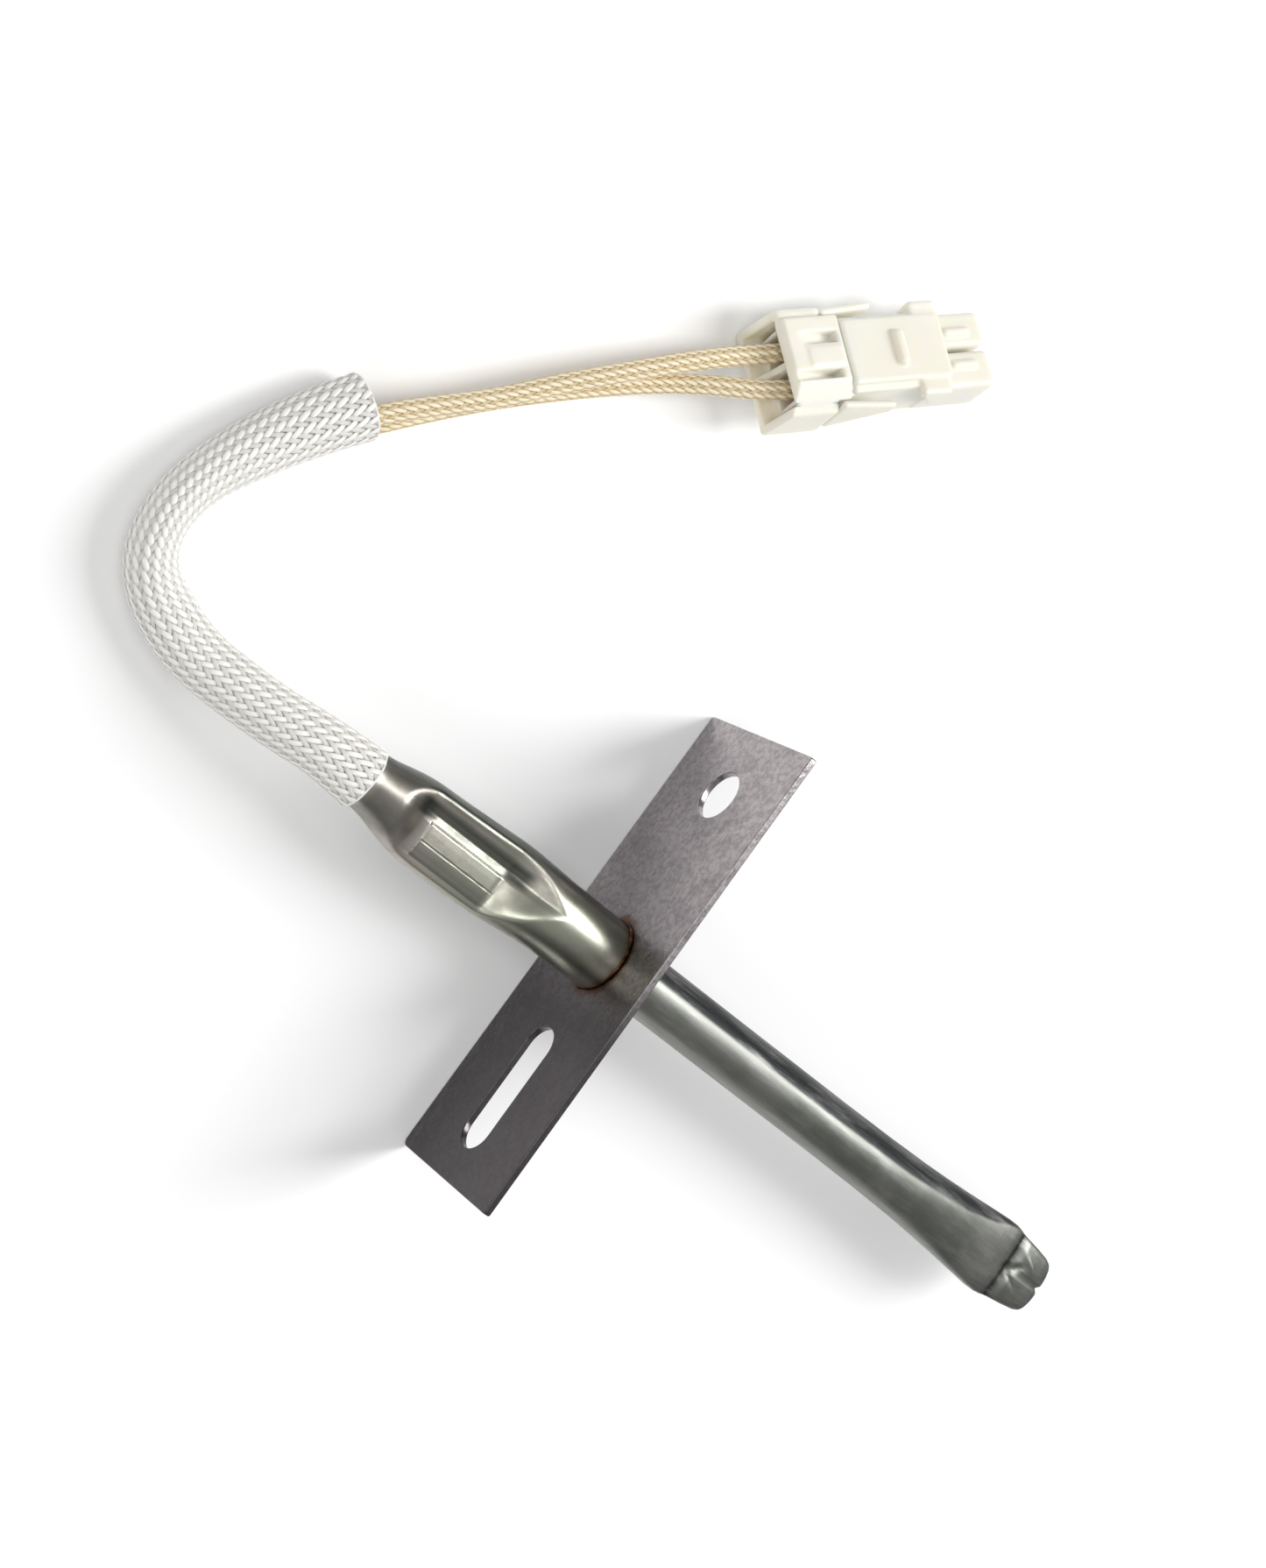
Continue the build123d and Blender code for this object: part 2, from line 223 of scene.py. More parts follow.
def steel_plate():
    """Mauve sheet with specks, darkened towards -Y by painted shade, and with an orange-peel texture near
    two of its edges.
    """
    n = Nodes("steel_plate", Metallic=1.0)
    mottle = n.noise(420.0, 6.0, 0.7)
    wide = n.noise(60.0, 3.0)
    peel = n.noise(620.0, 3.0, 0.5)
    speck = n.noise(1900.0, 3.0, 0.6)
    y, z = n.axis("Y"), n.axis("Z")
    colour = n.mix(n.ramp(wide, 0.35, 0.65), (0.37, 0.34, 0.35), (0.45, 0.415, 0.42))
    colour = n.mix(n.ramp(mottle, 0.46, 0.72, 0.0, 0.45), colour, (0.20, 0.185, 0.19))
    colour = n.mix(n.ramp(speck, 0.36, 0.66, 0.0, 0.5), colour, (0.17, 0.157, 0.16))
    # painted shade: the plate darkens towards -Y, fully below Y = -8 mm
    colour = n.mix(n.ramp(y, -0.008, 0.003, 0.88, 0.0), colour, (0.07, 0.063, 0.066))
    colour = heat_tint(n, colour)
    low_edge = n.ramp(z, -0.0096, -0.0025, 1.0, 0.0)
    far_edge = n.ramp(y, 0.018, 0.0266, 0.0, 0.4)
    peel_share = n.ramp(n.math("MAXIMUM", low_edge, far_edge), 0.0, 1.0, 0.05, 1.0)
    height = n.math("ADD", n.math("MULTIPLY", peel, peel_share), n.math("MULTIPLY", speck, 0.08))
    normal = n.bump(height, 0.7, 0.0003)
    return n.finish(colour, n.ramp(mottle, 0.3, 0.7, 0.22, 0.32), normal)


def steel_weld():
    n = Nodes("steel_weld", Metallic=1.0)
    mottle = n.noise(900.0, 4.0)
    colour = n.mix(n.ramp(mottle, 0.4, 0.62), (0.035, 0.018, 0.010), (0.14, 0.07, 0.03))
    return n.finish(colour, 0.34, n.bump(mottle, 0.3, 0.0001))


def glass_braid(name, colour, shade):
    """Glass fibre with slight stains, and with painted shade where a strand dips under the others."""
    n = Nodes(name)
    fibre = n.noise(5200.0, 2.0, 0.6)
    stain = n.noise(260.0, 3.0)
    # painted shade: the tone attribute mixes a strand towards the shade colour where it dips under the
    # others
    tone = n.mix(n.ramp(n.tone(), 0.0, 1.0), shade, colour)
    tone = n.mix(n.ramp(stain, 0.45, 0.75, 0.0, 0.22), tone, shaded(colour, 0.86))
    n.subsurface(0.12, (0.6, 0.55, 0.45), 0.0006)
    return n.finish(tone, 0.62, n.bump(fibre, 0.35, 0.00003))


def nylon():
    n = Nodes("nylon")
    wide = n.noise(110.0, 3.0)
    colour = n.mix(n.ramp(wide, 0.35, 0.7), (0.89, 0.855, 0.75), (0.91, 0.885, 0.80))
    n.subsurface(0.55, (1.0, 0.72, 0.38), 0.0011)
    return n.finish(colour, 0.42, n.bump(n.noise(900.0, 3.0), 0.08, 0.00004))


def plain(name, colour, rough, metallic=0.0, bump=0.1):
    """One colour with a faint mottle, for the pieces that hardly show."""
    n = Nodes(name, Metallic=metallic)
    mottle = n.noise(600.0, 4.0)
    tone = n.mix(n.ramp(mottle, 0.35, 0.7, 0.0, 0.35), colour, shaded(colour, 0.8))
    return n.finish(tone, rough, n.bump(mottle, bump, 0.00005))


def white_floor():
    n = Nodes("floor_white")
    set_inputs(n.shader, {"Emission Color": (1.0, 1.0, 1.0, 1.0), "Emission Strength": 0.08})
    return n.finish((0.9, 0.9, 0.9), 0.85)


TUBE = steel_tube()
FERRULE = steel_ferrule()
PLATE = steel_plate()
WELD = steel_weld()
# painted light: the two strand families are lit and shaded copies of one white glass fibre, and the dark
# sheet inside paints the shade between the strands
SLEEVE_LIT = glass_braid("sleeve_lit", (0.96, 0.95, 0.91), (0.72, 0.70, 0.65))
SLEEVE_SHADED = glass_braid("sleeve_shaded", (0.80, 0.78, 0.73), (0.60, 0.575, 0.53))
SLEEVE_SHADE_SHEET = plain("sleeve_shade_sheet", (0.42, 0.40, 0.36), 0.8)
# painted light: the two strand families are lit and shaded copies of one cream glass fibre, and the dark
# sheet inside paints the shade between the strands
LEAD_LIT = glass_braid("lead_lit", (0.95, 0.84, 0.62), (0.66, 0.52, 0.29))
LEAD_SHADED = glass_braid("lead_shaded", (0.82, 0.66, 0.40), (0.42, 0.30, 0.14))
LEAD_SHADE_SHEET = plain("lead_shade_sheet", (0.22, 0.15, 0.07), 0.8)
NYLON = nylon()
TIN = plain("tinned_brass", (0.62, 0.55, 0.40), 0.3, 1.0)
NICKEL = plain("nickel_wire", (0.62, 0.60, 0.56), 0.35, 1.0)
CERAMIC = plain("white_ceramic", (0.82, 0.81, 0.77), 0.6)
FILLER = plain("filler_powder", (0.70, 0.68, 0.62), 0.9, bump=0.4)
COVER = plain("splice_cover", (0.80, 0.78, 0.72), 0.55)


# ---- Meshes and lines ----
def mesh_object(name, verts, faces, materials, tone=None, material_index=None):
    """A smooth mesh object from millimetre points, which may each carry a painted shade tone from 0 to 1."""
    data = bpy.data.meshes.new(name)
    faces = faces if isinstance(faces, list) else faces.tolist()
    data.from_pydata((verts * MM).tolist(), [], faces)
    for material in materials:
        data.materials.append(material)
    data.polygons.foreach_set("use_smooth", np.ones(len(data.polygons), bool))
    if material_index is not None:
        data.polygons.foreach_set("material_index", material_index.astype(np.int32))
    if tone is not None:
        values = data.attributes.new("tone", "FLOAT", "POINT").data
        values.foreach_set("value", tone.astype(np.float32).ravel())
    data.update()
    return linked(name, data)


def stand_for(piece, body, node):
    """Makes a piece ride on a body and stand for the CAD node that it replaces."""
    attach(piece, body)
    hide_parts(node)


def grid_faces(rows, columns, first=0, closed=False):
    """Quads over a grid of points whose rows are rings. If closed, the last row joins the first."""
    r, c = np.meshgrid(np.arange(rows if closed else rows - 1), np.arange(columns), indexing="ij")
    next_r = (r + 1) % rows
    next_c = (c + 1) % columns
    corners = [r * columns + c, r * columns + next_c, next_r * columns + next_c, next_r * columns + c]
    return np.stack(corners, -1).reshape(-1, 4) + first


def turned(angle, side, up):
    """The direction at an angle from side towards up."""
    return np.cos(angle)[..., None] * side + np.sin(angle)[..., None] * up


def ring_angles(count):
    return np.arange(count) * TAU / count


def averaged(values, width):
    """Each value replaced by a weighted mean of those about it, with the ends held."""
    kernel = np.hanning(width) / np.hanning(width).sum()
    return np.convolve(np.pad(values, width // 2, mode="edge"), kernel, "valid")


def columns_of(table, places, *numbers):
    """Columns of a table of stations, read at places along its first column."""
    table = np.array(table)
    return [np.interp(places, table[:, 0], table[:, number]) for number in numbers]


def curve_mesh(curve):
    """A curve's mesh, as millimetre points and faces. The curve is used up."""
    holder = linked(curve.name, curve)
    bpy.context.view_layer.update()
    sampled = bpy.data.meshes.new_from_object(holder.evaluated_get(bpy.context.evaluated_depsgraph_get()))
    points = np.array([v.co for v in sampled.vertices]) / MM
    faces = [list(p.vertices) for p in sampled.polygons]
    bpy.data.meshes.remove(sampled)
    bpy.data.objects.remove(holder)
    bpy.data.curves.remove(curve)
    return points, faces


def line_of(name, route):
    """Points in millimetres along the smooth line through a route."""
    curve = bpy.data.curves.new(name, "CURVE")
    curve.dimensions = "3D"
    curve.resolution_u = 24
    spline = curve.splines.new("NURBS")
    spline.points.add(len(route) - 1)
    for point, place in zip(spline.points, route):
        point.co = (*place, 1.0)
    spline.order_u = 3
    spline.use_endpoint_u = True
    return curve_mesh(curve)[0]


def spaced(points, step):
    """Points along a line at even spacing, and the distance of each from its start."""
    along = np.concatenate([[0.0], np.cumsum(np.linalg.norm(np.diff(points, axis=0), axis=1))])
    count = max(2, int(round(along[-1] / step)) + 1)
    s = np.linspace(0.0, along[-1], count)
    return np.stack([np.interp(s, along, points[:, k]) for k in range(3)], 1), s


def smooth_line(points, passes):
    """Rounds a line's small kinks without moving its ends."""
    out = points.copy()
    for _ in range(passes):
        out[1:-1] = 0.25 * out[:-2] + 0.5 * out[1:-1] + 0.25 * out[2:]
    return out


def frames_along(points):
    """Tangents and two cross directions that turn as little as they can along a line."""
    tangent = np.gradient(points, axis=0)
    tangent /= np.linalg.norm(tangent, axis=1)[:, None]
    side = np.cross(tangent[0], (0.0, 0.0, 1.0))
    side /= np.linalg.norm(side)
    sides = []
    for t in tangent:
        side = side - t * (side @ t)
        side = side / np.linalg.norm(side)
        sides.append(side)
    sides = np.array(sides)
    return tangent, sides, np.cross(tangent, sides)


# ---- Braid ----
# across a strand: shares of its width and height
STRAND_SECTION = np.array([(-0.5, 0.0), (-0.3, 0.42), (0.0, 0.5), (0.3, 0.42), (0.5, 0.0), (0.0, -0.5)])
RIM_COUNT, RIM_SIDES, RIM_TONE = 96, 8, 0.8
SHADE_SHEET_SIDES = 32


class Grids:
    """Grids of points, whose rows are rings, that become one mesh object."""

    def __init__(self):
        self.verts, self.faces, self.tones, self.index = [], [], [], []
        self.start = 0

    def add(self, grid, tone, material_index, closed=False):
        rows, columns = grid.shape[:2]
        quads = grid_faces(rows, columns, self.start, closed)
        self.verts.append(grid.reshape(-1, 3))
        self.faces.append(quads)
        self.tones.append(np.broadcast_to(tone, (rows, columns)).ravel())
        self.index.append(np.full(len(quads), material_index))
        self.start += rows * columns

    def join(self, name, materials):
        parts = (self.verts, self.faces, self.tones, self.index)
        verts, faces, tones, index = (np.concatenate(part) for part in parts)
        return mesh_object(name, verts, faces, materials, tones, index)


def strand_lift(crossing, number, family):
    """How high a strand rides, from -1 to 1: it passes over two others, then under two."""
    if family == 0:
        return np.clip(1.35 * np.cos(0.5 * math.pi * (crossing + 2 * number - 0.5)), -1.0, 1.0)
    return 0.6 * np.clip(1.35 * np.cos(0.5 * math.pi * (2 * number - crossing - 2.5)), -1.0, 1.0) - 0.3


def bound_rim(centre, axis, side, up, radius, thick):
    """The ring of fused fibre that binds a braid's cut end."""
    around = ring_angles(RIM_COUNT)
    section = ring_angles(RIM_SIDES)
    wobble = 1.0 + 0.012 * np.sin(5.0 * around + 1.0) + 0.008 * np.sin(11.0 * around)
    reach = (radius * wobble)[:, None] + thick * 0.75 * np.cos(section)
    along = axis * (thick * 0.6 * np.sin(section))[:, None]
    return centre + turned(around, side, up)[:, None, :] * reach[..., None] + along


def braid(name, points, s, radius, strands, lay_angle, strand_size, wave, hand, materials, squash=None):
    """A tube of woven strands with bound ends and a dark sheet inside that paints the shade between them.
    The materials are those of the two families of strands, which turn opposite ways, a lit and a shaded copy
    of one fibre, and of the dark sheet."""
    strand_width, strand_height = strand_size
    section_wide, section_high = STRAND_SECTION.T
    stretch = np.ones(len(points)) if squash is None else squash
    tangent, side, up = frames_along(points)
    tall = up * stretch[:, None]
    r_mid = radius - strand_height / 2 - wave
    turn = np.cumsum(np.diff(s, prepend=0.0) * math.tan(lay_angle) / r_mid)
    crossing = turn * strands / math.pi
    grids = Grids()
    for family, spin in ((0, hand), (1, -hand)):
        for k in range(strands):
            angle = TAU * k / strands + spin * turn
            # strands are numbered the way family 0 turns, so both families number a crossing alike
            lift = strand_lift(crossing, hand * k, family)
            out = turned(angle, side, tall)
            around = turned(angle, tall, -side)
            centre = points + out * (r_mid + wave * lift)[:, None]
            along = tangent * math.cos(lay_angle) + around * (spin * math.sin(lay_angle))
            normal = out / np.linalg.norm(out, axis=1)[:, None]
            across = np.cross(normal, along)
            width = strand_width * (0.90 + 0.13 * lift)
            wide = (section_wide * width[:, None])[..., None]
            high = (section_high * strand_height)[:, None]
            ring = centre[:, None, :] + across[:, None, :] * wide + normal[:, None, :] * high
            # painted shade: a strand's tone falls where it dips under the others
            grids.add(ring, (0.5 + 0.5 * lift)[:, None], family)
    for end in (0, -1):
        rim = bound_rim(points[end], tangent[end], side[end], up[end], r_mid[end], strand_height)
        grids.add(rim, RIM_TONE, 0, closed=True)
    # a dark sheet inside the strands: painted shade that shows through their gaps
    shade_sheet_r = r_mid - strand_height * 0.35 - wave
    shade_sheet_out = turned(ring_angles(SHADE_SHEET_SIDES), side[:, None, :], tall[:, None, :])
    grids.add(points[:, None, :] + shade_sheet_r[:, None, None] * shade_sheet_out, 0.0, 2)
    return grids.join(name, materials)


# ---- Sleeve and leads ----
SLEEVE_ROUTE = [
    (-0.0331, -0.0007, 0.0),
    (-0.0374, -0.0005, -0.0005),
    (-0.042, -0.001, -0.0021),
    (-0.0468, -0.0011, -0.0039),
    (-0.0516, -0.0009, -0.006),
    (-0.0562, 0.0008, -0.0066),
    (-0.0597, 0.003, -0.0065),
    (-0.0612, 0.0066, -0.0065),
    (-0.061, 0.011, -0.0065),
    (-0.0594, 0.0152, -0.0065),
    (-0.0573, 0.0193, -0.0065),
    (-0.055, 0.0231, -0.0064),
    (-0.0525, 0.0266, -0.0065),
]
# share of the sleeve's length, radius
SLEEVE_RADII = [
    (0.0, 3.28), (0.03, 3.2), (0.09, 2.97), (0.2, 2.9), (0.3, 2.9), (0.39, 2.94), (0.45, 2.9), (0.51, 2.62),
    (0.56, 2.42), (0.61, 2.32), (0.67, 2.38), (0.73, 2.55), (0.79, 2.82), (0.88, 3.06), (0.97, 3.2),
    (1.0, 3.3),
]
# share of the sleeve's length, half height
SLEEVE_HEIGHTS = [(0.0, 3.2), (0.3, 3.0), (0.5, 3.1), (0.75, 3.3), (1.0, 3.3)]
FAR_ROUTE = [
    (-0.0115, -0.0012, 0.0),
    (-0.0165, -0.0012, 0.0),
    (-0.024, -0.0014, 0.0),
    (-0.0315, -0.0018, 0.0),
    (-0.0373, -0.0017, -0.0005),
    (-0.0428, -0.0021, -0.0021),
    (-0.0484, -0.0021, -0.004),
    (-0.0537, -0.0013, -0.0059),
    (-0.0594, 0.0017, -0.0062),
    (-0.062, 0.0062, -0.0066),
    (-0.0606, 0.0127, -0.0062),
    (-0.0578, 0.0174, -0.00545),
    (-0.0547, 0.0224, -0.005),
    (-0.0512, 0.0271, -0.0048),
    (-0.0472, 0.0312, -0.0049),
    (-0.043, 0.0353, -0.005),
    (-0.0393, 0.0398, -0.0051),
    (-0.0355, 0.0441, -0.0049),
    (-0.0316, 0.0483, -0.005),
    (-0.0275, 0.0526, -0.0052),
    (-0.02313, 0.05648, -0.00558),
    (-0.01821, 0.06103, -0.00558),
]
NEAR_ROUTE = [
    (-0.0115, 0.0012, 0.0),
    (-0.0165, 0.0012, 0.0),
    (-0.024, 0.001, 0.0),
    (-0.0315, 0.0006, 0.0),
    (-0.0371, 0.0006, -0.0007),
    (-0.0425, 0.0001, -0.0026),
    (-0.0478, -0.0001, -0.0048),
    (-0.0526, 0.0001, -0.0071),
    (-0.0588, 0.0028, -0.0079),
    (-0.0609, 0.0072, -0.0084),
    (-0.0591, 0.0134, -0.0079),
    (-0.0561, 0.0179, -0.00735),
    (-0.0531, 0.0228, -0.007),
    (-0.0496, 0.0272, -0.0069),
    (-0.0459, 0.0315, -0.0071),
    (-0.0421, 0.0357, -0.0072),
    (-0.0381, 0.0398, -0.0069),
    (-0.0339, 0.0438, -0.0069),
    (-0.0295, 0.0477, -0.0066),
    (-0.0254, 0.0509, -0.0048),
    (-0.02075, 0.05391, -0.00372),
    (-0.01583, 0.05846, -0.00372),
]
SLEEVE_STEP = 0.3
SLEEVE_STRANDS = 32
SLEEVE_LAY = math.radians(25.0)
SLEEVE_STRAND = (0.55, 0.2)
SLEEVE_WAVE = 0.1
# the route's height over the floor where the sleeve lies
SLEEVE_LYING = 3.3
LEAD_STEP = 0.36
LEAD_R = 1.025
LEAD_STRANDS = 14
LEAD_LAY = math.radians(19.0)
LEAD_STRAND = (0.42, 0.17)
LEAD_WAVE = 0.06


def make_sleeve():
    """The sleeve and its line. It is flattened from the sides in its bend, and lies on the floor from there
    on, so its line drops by what its height lacks."""
    rough_line = spaced(line_of("sleeve_line", SLEEVE_ROUTE), 0.5)[0]
    line, s = spaced(smooth_line(rough_line, 6), SLEEVE_STEP)
    share = s / s[-1]
    radius = averaged(columns_of(SLEEVE_RADII, share, 1)[0], 13)
    tall = columns_of(SLEEVE_HEIGHTS, share, 1)[0]
    lies = np.interp(share, (0.36, 0.46), (0.0, 1.0))
    line[:, 2] -= lies * (SLEEVE_LYING - tall)
    piece = braid(
        "outer_sleeve_braid", line, s, radius, SLEEVE_STRANDS, SLEEVE_LAY, SLEEVE_STRAND, SLEEVE_WAVE, -1,
        [SLEEVE_LIT, SLEEVE_SHADED, SLEEVE_SHADE_SHEET], squash=tall / radius,
    )
    stand_for(piece, "root", "outer_sleeve")
    return piece, line


def make_lead(letter, route):
    """A lead and its line."""
    line, s = spaced(line_of(f"lead_line_{letter}", route), LEAD_STEP)
    radius = np.full(len(s), LEAD_R)
    piece = braid(
        f"lead_{letter}_braid", line, s, radius, LEAD_STRANDS, LEAD_LAY, LEAD_STRAND, LEAD_WAVE, 1,
        [LEAD_LIT, LEAD_SHADED, LEAD_SHADE_SHEET],
    )
    stand_for(piece, "root", f"lead_braid_{letter}")
    return piece, line


outer_sleeve, sleeve_line = make_sleeve()
leads = {letter: make_lead(letter, route) for letter, route in (("a", FAR_ROUTE), ("b", NEAR_ROUTE))}


# ---- Surfaces from distance fields ----
def grid_crossings(field, inside, axis):
    """The grid's edges along an axis on which a field changes sign, where on each it does, and which of
    the edges start inside."""
    low = [slice(None)] * 3
    high = [slice(None)] * 3
    low[axis] = slice(None, -1)
    high[axis] = slice(1, None)
    low, high = tuple(low), tuple(high)
    mask = inside[low] != inside[high]
    share = np.where(mask, field[low] / np.where(mask, field[low] - field[high], 1.0), 0.0)
    return mask, share, inside[low]


def cell_places(crossings, cells):
    """For every cell, the mean place of the sign changes on its edges, and how many there are."""
    total = np.zeros((*cells, 3))
    count = np.zeros(cells)
    for axis, (mask, share, _) in enumerate(crossings):
        index = np.indices(mask.shape).astype(float)
        index[axis] += share
        first, second = [o for o in range(3) if o != axis]
        for da in (0, 1):
            for db in (0, 1):
                part = [slice(None)] * 3
                part[first] = slice(da, cells[first] + da)
                part[second] = slice(db, cells[second] + db)
                part = tuple(part)
                for k in range(3):
                    total[..., k] += np.where(mask[part], index[k][part], 0.0)
                count += mask[part]
    return total, count


def crossing_quads(axis, mask, starts_inside, number, cells):
    """A quad round every edge of the grid that crosses the surface, through its four cells' points."""
    edge = np.stack(np.nonzero(mask), 1)
    first, second = [(1, 2), (2, 0), (0, 1)][axis]
    within = (edge[:, first] > 0) & (edge[:, second] > 0)
    within &= (edge[:, first] < cells[first]) & (edge[:, second] < cells[second])
    edge = edge[within]
    corners = []
    for da, db in ((1, 1), (0, 1), (0, 0), (1, 0)):
        cell = edge.copy()
        cell[:, first] -= da
        cell[:, second] -= db
        corners.append(number[tuple(cell.T)])
    quad = np.stack(corners, 1)
    flip = ~starts_inside[tuple(edge.T)]
    quad[flip] = quad[flip][:, ::-1]
    return quad


def surface_nets(field, origin, step):
    """The zero surface of a field sampled on a grid, as smooth quads."""
    inside = field < 0
    cells = tuple(n - 1 for n in field.shape)
    crossings = [grid_crossings(field, inside, axis) for axis in range(3)]
    total, count = cell_places(crossings, cells)
    active = count > 0
    number = np.full(cells, -1)
    number[active] = np.arange(active.sum())
    verts = total[active] / count[active][:, None] * step + origin
    quads = [
        crossing_quads(axis, mask, starts_inside, number, cells)
        for axis, (mask, _, starts_inside) in enumerate(crossings)
    ]
    return verts, np.concatenate(quads)


def past_slope(place, start, other, rate):
    """How far a place lies past a sloping plane, which runs where place = start + rate * other."""
    return (place - start - rate * other) / math.hypot(1.0, rate)


class Field:
    """A solid built from rounded boxes on a grid of points. It is where the field's value is below 0."""

    def __init__(self, low, high, step):
        self.low, self.step = np.array(low, float), step
        axes = [np.arange(a, b + step, step) for a, b in zip(low, high)]
        self.u, self.v, self.w = np.meshgrid(*axes, indexing="ij")
        self.value = np.full(self.u.shape, 99.0)

    def box(self, low, high, rounding, yaw=0.0, pivot=(0.0, 0.0)):
        """Distance from a rounded box that may be turned about an upright pivot."""
        du, dv = self.u - pivot[0], self.v - pivot[1]
        u = pivot[0] + math.cos(yaw) * du + math.sin(yaw) * dv
        v = pivot[1] - math.sin(yaw) * du + math.cos(yaw) * dv
        half = (np.array(high) - np.array(low)) / 2
        middle = (np.array(high) + np.array(low)) / 2
        rounding = min(rounding, half.min() * 0.999)
        q = [np.abs(p - m) - (h - rounding) for p, m, h in zip((u, v, self.w), middle, half)]
        outside = np.sqrt(sum(np.maximum(x, 0.0) ** 2 for x in q))
        return outside + np.minimum(np.maximum(np.maximum(q[0], q[1]), q[2]), 0.0) - rounding

    def add(self, other, soft=0.0):
        """Joins a shape, over a soft width if one is given."""
        if soft:
            h = np.clip(0.5 + 0.5 * (self.value - other) / soft, 0.0, 1.0)
            self.value = self.value * (1 - h) + other * h - soft * h * (1 - h)
        else:
            self.value = np.minimum(self.value, other)

    def cut(self, other, soft=0.0):
        """Takes a shape away, over a soft width if one is given."""
        if soft:
            h = np.clip(0.5 - 0.5 * (self.value + other) / soft, 0.0, 1.0)
            self.value = self.value * (1 - h) - other * h + soft * h * (1 - h)
        else:
            self.value = np.maximum(self.value, -other)

    def mesh(self):
        return surface_nets(self.value, self.low, self.step)


# ---- Plug ----
# In the plug's own frame u runs forward from its cable end, v to its far side and w up.
PLUG_CENTRE = np.array((-21.5, 55.6, -4.65))
PLUG_AZIMUTH = math.radians(42.8)
PLUG_ROLL = math.radians(28.0)
PLUG_FORWARD = np.array((math.cos(PLUG_AZIMUTH), math.sin(PLUG_AZIMUTH), 0.0))
PLUG_LEVEL = np.array((-math.sin(PLUG_AZIMUTH), math.cos(PLUG_AZIMUTH), 0.0))
PLUG_UP = PLUG_LEVEL * math.sin(PLUG_ROLL) + np.array((0.0, 0.0, math.cos(PLUG_ROLL)))
PLUG_SIDE = np.cross(PLUG_UP, PLUG_FORWARD)
PLUG_STEP = 0.17
FINE_STEP = 0.8 * PLUG_STEP
LEAD_PITCH = 1.98
HOOD_SIDE = 4.9
HOOD_WALL = 0.45
BLOCK_TOP = 3.75
ARM_HALF = 0.38
ARM_REACH = 6.6
ARM_HINGE_U = 5.7
FLARE = math.radians(4.0)


def plug_piece(name, field, body, node):
    verts, faces = field.mesh()
    placed = PLUG_CENTRE + verts[:, :1] * PLUG_FORWARD + verts[:, 1:2] * PLUG_SIDE + verts[:, 2:] * PLUG_UP
    piece = mesh_object(name, placed, faces, [NYLON])
    stand_for(piece, body, node)
    return piece


def housing_body(solid):
    """The long body, its two noses with a rib each, and the hood round the cable end."""
    solid.add(solid.box((0.0, -3.95, -3.0), (17.0, 3.9, 3.0), 0.35))
    for side, nose_low, nose_high in ((1, 0.25, 3.95), (-1, -4.15, -0.25)):
        rib = 1.75 * side
        solid.add(solid.box((16.0, nose_low, -2.8), (23.9, nose_high, 2.5), 0.6), 0.2)
        solid.add(solid.box((19.0, rib - 0.5, 1.9), (22.2, rib + 0.5, 2.95), 0.48), 0.15)
    solid.add(solid.box((0.3, -4.4, 2.2), (6.62, 4.2, BLOCK_TOP), 0.3), 0.3)
    for wall in (HOOD_SIDE, -HOOD_SIDE):
        solid.add(solid.box((-1.3, wall - HOOD_WALL, -3.0), (5.2, wall + HOOD_WALL, 3.05), 0.35), 0.35)
    solid.add(solid.box((-1.3, -5.3, -3.05), (5.0, 5.3, -2.2), 0.35), 0.3)
    solid.add(solid.box((0.2, -5.3, 2.25), (4.8, 5.3, 3.05), 0.35), 0.3)


def housing_opening(solid):
    """The opening that the leads go into, its slanted rear edges, the fin between the leads and the two
    chambers that run on to the front."""
    solid.cut(solid.box((-4.0, -4.45, -2.25), (0.75, 4.45, 2.3), 0.3), 0.15)
    solid.cut(past_slope(solid.u, 0.25, solid.w - 3.0, 0.26))
    fin = solid.box((-1.2, -0.38, -2.6), (1.2, 0.38, 2.6), 0.15)
    solid.add(np.maximum(fin, -past_slope(solid.u, -1.0, solid.w + 2.6, 0.36)), 0.15)
    for lead_v in (LEAD_PITCH, -LEAD_PITCH):
        solid.cut(solid.box((-0.5, lead_v - 1.5, -1.55), (22.4, lead_v + 1.5, 1.55), 0.2), 0.1)
        solid.cut(solid.box((20.0, lead_v - 0.95, -0.7), (25.0, lead_v + 0.95, 0.7), 0.2), 0.1)


def housing_top(solid):
    """The ramped windows in the block's top, the tongue between them and the slope to its near side."""
    for low_u, high_u, low_v, high_v in ((1.7, 6.0, 1.3, 2.5), (0.0, 5.7, -2.35, -1.45)):
        window = solid.box((low_u, low_v, 0.0), (high_u, high_v, 5.0), 0.12)
        window_floor = past_slope(solid.w, BLOCK_TOP, solid.u - low_u, -0.36)
        solid.cut(np.maximum(window, -window_floor), 0.12)
    solid.add(solid.box((2.2, -1.2, 2.4), (6.3, 1.0, 3.95), 0.3), 0.15)
    near_slope = past_slope(solid.w, 3.35, solid.v + 3.1, 0.75)
    solid.cut(np.where(solid.v < -2.4, -near_slope, 9.0))


def make_housing():
    solid = Field((-2.2, -6.4, -4.0), (24.4, 6.4, 4.6), PLUG_STEP)
    housing_body(solid)
    housing_opening(solid)
    housing_top(solid)
    return plug_piece("connector_housing_shell", solid, "root", "connector_housing")


